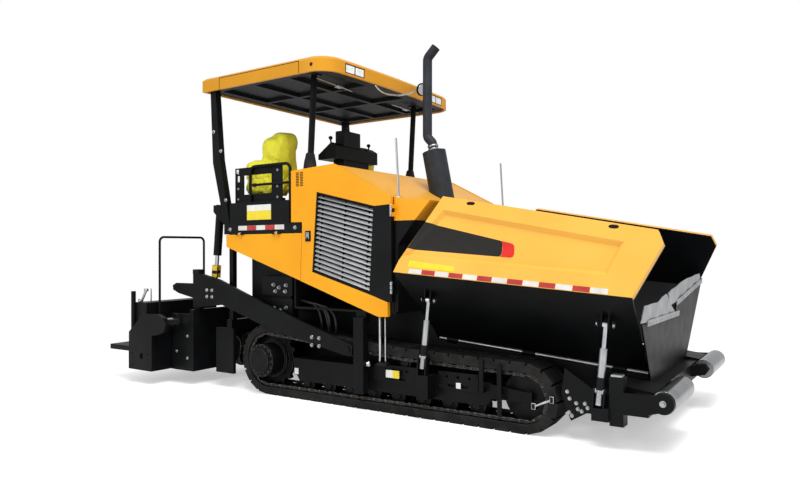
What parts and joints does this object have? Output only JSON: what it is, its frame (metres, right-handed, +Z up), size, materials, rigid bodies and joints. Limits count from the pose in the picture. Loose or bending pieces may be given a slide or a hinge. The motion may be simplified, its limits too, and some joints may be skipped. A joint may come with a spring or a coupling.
{
  "type": "tracked asphalt paver",
  "caption": "Crawler road paver with receiving hopper, folding wings, engine hood, canopied platform, spreading augers and a floating extending screed.",
  "frame": {"origin": "on the ground under the middle of the machine (bottom centre of its bounding box)", "axes": "+X is the direction of travel with the hopper in front, +Y is the left-hand side, +Z is up"},
  "size_m": [6.65, 3.2, 3.9707],
  "materials": {
    "yellow_paint": "semi-gloss orange-yellow paint",
    "black_paint": "satin black paint",
    "graphite_paint": "satin slate grey paint",
    "dark_steel": "dark worn steel",
    "track_rubber": "black rubber pads on steel links",
    "chrome": "hard chrome",
    "bright_steel": "brushed bright steel",
    "flap_silver": "silver sheet",
    "liner_plastic": "moulded black lining",
    "lamp_white": "clear lamp lens over a white reflector",
    "cover_yellow": "lemon-yellow plastic seat cover"
  },
  "bodies": {
    "chassis": {"auger_frame": "black_paint", "canopy_liner": "liner_plastic", "canopy_posts": "black_paint", "canopy_roof": "yellow_paint", "chassis_frame": "black_paint", "console": "black_paint", "conveyor": "dark_steel", "cowl": "yellow_paint", "engine_block": "graphite_paint", "exhaust_pipe": "graphite_paint", "final_drives": "dark_steel", "guard_rails": "black_paint", "hood_shell": "yellow_paint", "hopper_apron": "black_paint", "hopper_flaps": "flap_silver", "hopper_rear_wall": "black_paint", "marker_rods": "chrome", "muffler": "graphite_paint", "platform": "black_paint", "push_beam": "black_paint", "roof_lamps": "lamp_white", "running_gear": "dark_steel", "seat_left": "cover_yellow", "seat_right": "cover_yellow", "side_boxes": "black_paint", "tank_housing": "black_paint", "track_frames": "black_paint", "track_left": "track_rubber", "track_right": "track_rubber", "wing_hinges": "dark_steel"},
    "push_roller_right": {"push_roller_right": "chrome"},
    "push_roller_left": {"push_roller_left": "chrome"},
    "auger_right": {"auger_right": "dark_steel"},
    "auger_left": {"auger_left": "dark_steel"},
    "wing_right": {"wing_wall_right": "black_paint", "wing_cover_right": "yellow_paint"},
    "wing_left": {"wing_wall_left": "black_paint", "wing_cover_left": "yellow_paint"},
    "wing_cylinders_right": {"wing_cylinder_right": "bright_steel"},
    "wing_cylinders_left": {"wing_cylinder_left": "bright_steel"},
    "wing_rods_right": {"wing_rod_right": "chrome"},
    "wing_rods_left": {"wing_rod_left": "chrome"},
    "service_door_right": {"service_door_right": "yellow_paint", "vent_panel_right": "black_paint", "vent_slats_right": "bright_steel"},
    "service_door_left": {"service_door_left": "yellow_paint", "vent_panel_left": "black_paint", "vent_slats_left": "bright_steel"},
    "rear_panel_right": {"rear_panel_right": "yellow_paint"},
    "rear_panel_left": {"rear_panel_left": "yellow_paint"},
    "tow_slider": {"tow_slider": "black_paint"},
    "screed": {"tow_arms": "black_paint", "screed_body": "black_paint"},
    "extension_right": {"screed_extension_right": "black_paint", "guide_tube_right": "chrome"},
    "extension_left": {"screed_extension_left": "black_paint", "guide_tube_left": "chrome"},
    "lift_cylinders": {"lift_cylinders": "black_paint"},
    "lift_rods": {"lift_rods": "chrome"}
  },
  "joints": [
    {"name": "wing_right_lift", "type": "hinge", "parent": "chassis", "child": "wing_right", "pos_m": [0.979, -0.745, 0.717], "axis": [-0.9966, 0, 0.0826], "range_deg": [-16, 30]},
    {"name": "wing_cylinders_right_swing", "type": "hinge", "parent": "chassis", "child": "wing_cylinders_right", "pos_m": [1.0998, -1.265, 0.60063], "axis": [-0.9966, 0, 0.0826], "range_deg": [-11.3, 21.1]},
    {"name": "wing_rods_right_stroke", "type": "slide", "parent": "wing_cylinders_right", "child": "wing_rods_right", "axis": [0.0825, 0.0466, 0.9955], "range_m": [-0.142, 0.266]},
    {"name": "push_roller_right_turn", "type": "hinge", "parent": "chassis", "child": "push_roller_right", "pos_m": [3.235, -0.87, 0.419], "axis": [0, 1, 0], "continuous": true},
    {"name": "auger_right_turn", "type": "hinge", "parent": "chassis", "child": "auger_right", "pos_m": [-1.76, -0.605, 0.4], "axis": [0, 1, 0], "continuous": true},
    {"name": "service_door_right_swing", "type": "hinge", "parent": "chassis", "child": "service_door_right", "pos_m": [0.752, -1.289, 1.6], "axis": [0, 0, 1], "range_deg": [0, 90]},
    {"name": "rear_panel_right_flap", "type": "hinge", "parent": "chassis", "child": "rear_panel_right", "pos_m": [-1.045, -1.289, 1.796], "axis": [-1, 0, 0], "range_deg": [0, 90]},
    {"name": "extension_right_slide", "type": "slide", "parent": "screed", "child": "extension_right", "axis": [0, -1, 0], "range_m": [-0.18, 0.65]},
    {"name": "wing_left_lift", "type": "hinge", "parent": "chassis", "child": "wing_left", "pos_m": [0.979, 0.745, 0.717], "axis": [0.9966, 0, -0.0826], "range_deg": [-16, 30]},
    {"name": "wing_cylinders_left_swing", "type": "hinge", "parent": "chassis", "child": "wing_cylinders_left", "pos_m": [1.0998, 1.265, 0.60063], "axis": [0.9966, 0, -0.0826], "range_deg": [-11.3, 21.1]},
    {"name": "wing_rods_left_stroke", "type": "slide", "parent": "wing_cylinders_left", "child": "wing_rods_left", "axis": [0.0825, -0.0466, 0.9955], "range_m": [-0.142, 0.266]},
    {"name": "push_roller_left_turn", "type": "hinge", "parent": "chassis", "child": "push_roller_left", "pos_m": [3.235, 0.87, 0.419], "axis": [0, 1, 0], "continuous": true},
    {"name": "auger_left_turn", "type": "hinge", "parent": "chassis", "child": "auger_left", "pos_m": [-1.76, 0.605, 0.4], "axis": [0, 1, 0], "continuous": true},
    {"name": "service_door_left_swing", "type": "hinge", "parent": "chassis", "child": "service_door_left", "pos_m": [0.752, 1.289, 1.6], "axis": [0, 0, -1], "range_deg": [0, 90]},
    {"name": "rear_panel_left_flap", "type": "hinge", "parent": "chassis", "child": "rear_panel_left", "pos_m": [-1.045, 1.289, 1.796], "axis": [1, 0, 0], "range_deg": [0, 90]},
    {"name": "extension_left_slide", "type": "slide", "parent": "screed", "child": "extension_left", "axis": [0, 1, 0], "range_m": [-0.18, 0.65]},
    {"name": "tow_point_lift", "type": "slide", "parent": "chassis", "child": "tow_slider", "axis": [0, 0, 1], "range_m": [-0.04, 0.12]},
    {"name": "screed_float", "type": "hinge", "parent": "tow_slider", "child": "screed", "pos_m": [0.2, 0, 0.6], "axis": [0, 1, 0], "range_deg": [-2.2, 8]},
    {"name": "lift_cylinders_swing", "type": "hinge", "parent": "chassis", "child": "lift_cylinders", "pos_m": [-1.84, 0, 2.11], "axis": [0, 1, 0], "range_deg": [-5.8, 1.6]},
    {"name": "lift_rods_stroke", "type": "slide", "parent": "lift_cylinders", "child": "lift_rods", "axis": [-0.0974, 0, -0.9952], "range_m": [-0.297, 0.082]}
  ],
  "couplings": [
    {"joint": "wing_cylinders_right_swing", "follows": "wing_right_lift", "ratio": 0.7},
    {"joint": "wing_rods_right_stroke", "follows": "wing_right_lift", "m_per_rad": 0.505},
    {"joint": "wing_cylinders_left_swing", "follows": "wing_left_lift", "ratio": 0.7},
    {"joint": "wing_rods_left_stroke", "follows": "wing_left_lift", "m_per_rad": 0.505},
    {"joint": "lift_cylinders_swing", "follows": "screed_float", "ratio": -0.72},
    {"joint": "lift_rods_stroke", "follows": "screed_float", "m_per_rad": -2.12}
  ]
}
